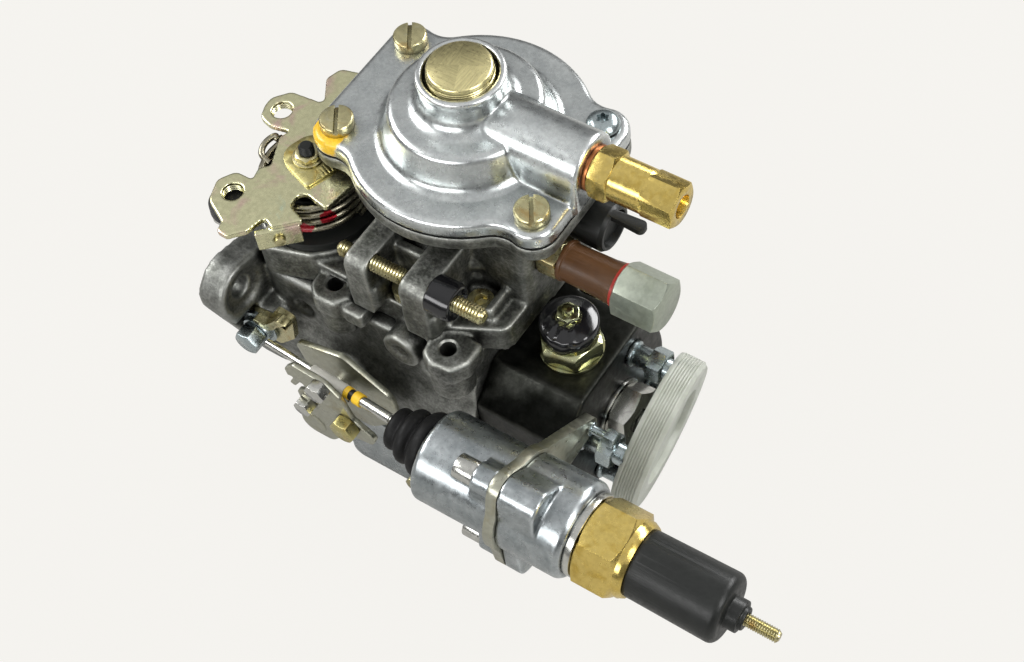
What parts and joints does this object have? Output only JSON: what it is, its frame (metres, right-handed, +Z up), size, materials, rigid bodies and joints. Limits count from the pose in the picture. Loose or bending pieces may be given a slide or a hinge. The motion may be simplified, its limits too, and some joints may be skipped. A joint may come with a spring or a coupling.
{
  "type": "diesel injection pump",
  "caption": "Rotary distributor diesel injection pump with boost cap, governor cover, throttle lever, shut-off solenoid and cold-start actuator.",
  "frame": {"origin": "centre of the pilot spigot at the mounting flange's face, on the drive shaft's axis", "axes": "+X along the drive shaft towards the distributor head, +Z up through the boost cap"},
  "size_m": [0.303, 0.1518, 0.2141],
  "materials": {
    "housing_cast": "as cast, satin",
    "cover_cast": "shot blasted, darker",
    "cap_cast": "bright satin",
    "actuator_cast": "bright, smooth",
    "plug_zinc": "yellow zinc, brushed",
    "screw_zinc": "yellow zinc",
    "lever_zinc": "pale iridescent zinc",
    "scale_zinc": "yellow-brown zinc",
    "blue_zinc": "blue-white zinc",
    "dark_zinc": "dark olive zinc",
    "bright_steel": "bright",
    "inner_steel": "ground",
    "spring_steel": "dark oiled",
    "black_metal": "black phosphated, oily",
    "solenoid_zinc": "yellow-green zinc",
    "brass": "machined",
    "copper": "soft copper washer",
    "return_green": "silver green",
    "brown_plastic": "matt",
    "black_plastic": "matt",
    "cap_plastic": "translucent white",
    "rubber_black": "matt"
  },
  "bodies": {
    "housing": {"actuator_body": "actuator_cast", "actuator_clamp_plate": "dark_zinc", "actuator_cover": "actuator_cast", "adjusting_screws": "bright_steel", "boost_cap": "cap_cast", "boost_cap_plug": "plug_zinc", "boost_cap_screws": "screw_zinc", "boost_spring": "spring_steel", "brass_hex": "brass", "brass_inlet": "brass", "casting_screws": "screw_zinc", "central_plug": "bright_steel", "cold_start_stop_plate": "dark_zinc", "delivery_dust_cap": "cap_plastic", "delivery_valve_holders": "blue_zinc", "diaphragm": "rubber_black", "distributor_head": "black_metal", "feed_pump_ring": "inner_steel", "front_bush": "inner_steel", "governor_cover": "cover_cast", "governor_pins": "inner_steel", "heater_sleeve": "black_plastic", "heater_stud": "screw_zinc", "inlet_washer": "copper", "plunger_springs": "spring_steel", "pump_housing": "housing_cast", "push_rod_boot": "rubber_black", "return_cap": "return_green", "return_fitting": "lever_zinc", "return_sleeve": "brown_plastic", "shaft_seals": "rubber_black", "shutoff_solenoid": "solenoid_zinc", "side_bolts": "blue_zinc", "side_bracket": "dark_zinc", "spring_seat": "black_plastic", "tamper_caps": "black_plastic", "timing_covers": "actuator_cast", "timing_spring": "spring_steel"},
    "drive": {"drive_shaft": "bright_steel", "drive_gear": "inner_steel", "feed_pump_rotor": "inner_steel"},
    "cam": {"cam_plate": "inner_steel"},
    "governor": {"governor_gear": "inner_steel"},
    "sleeve": {"governor_sleeve": "inner_steel"},
    "governor_arm": {"governor_lever": "inner_steel"},
    "collar": {"control_collar": "inner_steel"},
    "throttle": {"throttle_shaft": "bright_steel", "throttle_lever": "lever_zinc", "lever_scale_plate": "scale_zinc", "lever_pad": "black_plastic", "throttle_return_spring": "spring_steel"},
    "push_rod": {"push_rod": "blue_zinc"},
    "cold_lever": {"cold_start_lever": "dark_zinc", "cold_start_shaft": "bright_steel", "cold_start_lever_bolts": "bright_steel"},
    "boost": {"boost_pin": "inner_steel"},
    "timing": {"timing_piston": "inner_steel"},
    "advance": {"roller_ring": "inner_steel", "rollers_and_pin": "inner_steel"},
    "armature": {"solenoid_armature": "inner_steel"}
  },
  "joints": [
    {"name": "drive_spin", "type": "hinge", "parent": "housing", "child": "drive", "pos_m": [0, 0, 0], "axis": [1, 0, 0], "continuous": true},
    {"name": "plunger_stroke", "type": "slide", "parent": "drive", "child": "cam", "axis": [1, 0, 0], "range_m": [0, 0.0022]},
    {"name": "governor_spin", "type": "hinge", "parent": "housing", "child": "governor", "pos_m": [0, 0, 0.04], "axis": [1, 0, 0], "continuous": true},
    {"name": "sleeve_slide", "type": "slide", "parent": "housing", "child": "sleeve", "axis": [1, 0, 0], "range_m": [0, 0.003]},
    {"name": "governor_arm_pivot", "type": "hinge", "parent": "housing", "child": "governor_arm", "pos_m": [0.088, 0, 0.026], "axis": [0, 1, 0], "range_deg": [0, 12.5]},
    {"name": "collar_slide", "type": "slide", "parent": "housing", "child": "collar", "axis": [1, 0, 0], "range_m": [-0.00365, 0]},
    {"name": "throttle_turn", "type": "hinge", "parent": "housing", "child": "throttle", "pos_m": [0.0254, -0.0094, 0.086], "axis": [0, 0, 1], "range_deg": [0, 37], "stiffness_Nm_per_rad": 0.8, "springref_deg": -34.38},
    {"name": "push_rod_slide", "type": "slide", "parent": "housing", "child": "push_rod", "axis": [0.988, -0.1092, 0.1092], "range_m": [0, 0.007], "stiffness_N_per_m": 1500, "springref_m": -0.004},
    {"name": "cold_lever_turn", "type": "hinge", "parent": "housing", "child": "cold_lever", "pos_m": [0.05, 0, 0.002], "axis": [0, 1, 0], "range_deg": [0, 16]},
    {"name": "boost_pin_slide", "type": "slide", "parent": "housing", "child": "boost", "axis": [0, 0, 1], "range_m": [-0.004, 0], "stiffness_N_per_m": 8000, "springref_m": 0.004, "deforming": ["boost_spring"]},
    {"name": "timing_slide", "type": "slide", "parent": "housing", "child": "timing", "axis": [0, 1, 0], "range_m": [0, 0.008], "stiffness_N_per_m": 6000, "springref_m": -0.003},
    {"name": "advance_turn", "type": "hinge", "parent": "housing", "child": "advance", "pos_m": [0.058, 0, 0], "axis": [1, 0, 0], "range_deg": [0, 12.1]},
    {"name": "armature_slide", "type": "slide", "parent": "housing", "child": "armature", "axis": [0, 0, 1], "range_m": [0, 0.0012], "stiffness_N_per_m": 1200, "springref_m": -0.002}
  ],
  "couplings": [
    {"joint": "governor_spin", "follows": "drive_spin", "ratio": -1.9118},
    {"joint": "governor_arm_pivot", "follows": "sleeve_slide", "rad_per_m": 71.429},
    {"joint": "collar_slide", "follows": "sleeve_slide", "ratio": -1.2143},
    {"joint": "cold_lever_turn", "follows": "push_rod_slide", "rad_per_m": 38.5},
    {"joint": "advance_turn", "follows": "timing_slide", "rad_per_m": 26.3}
  ]
}
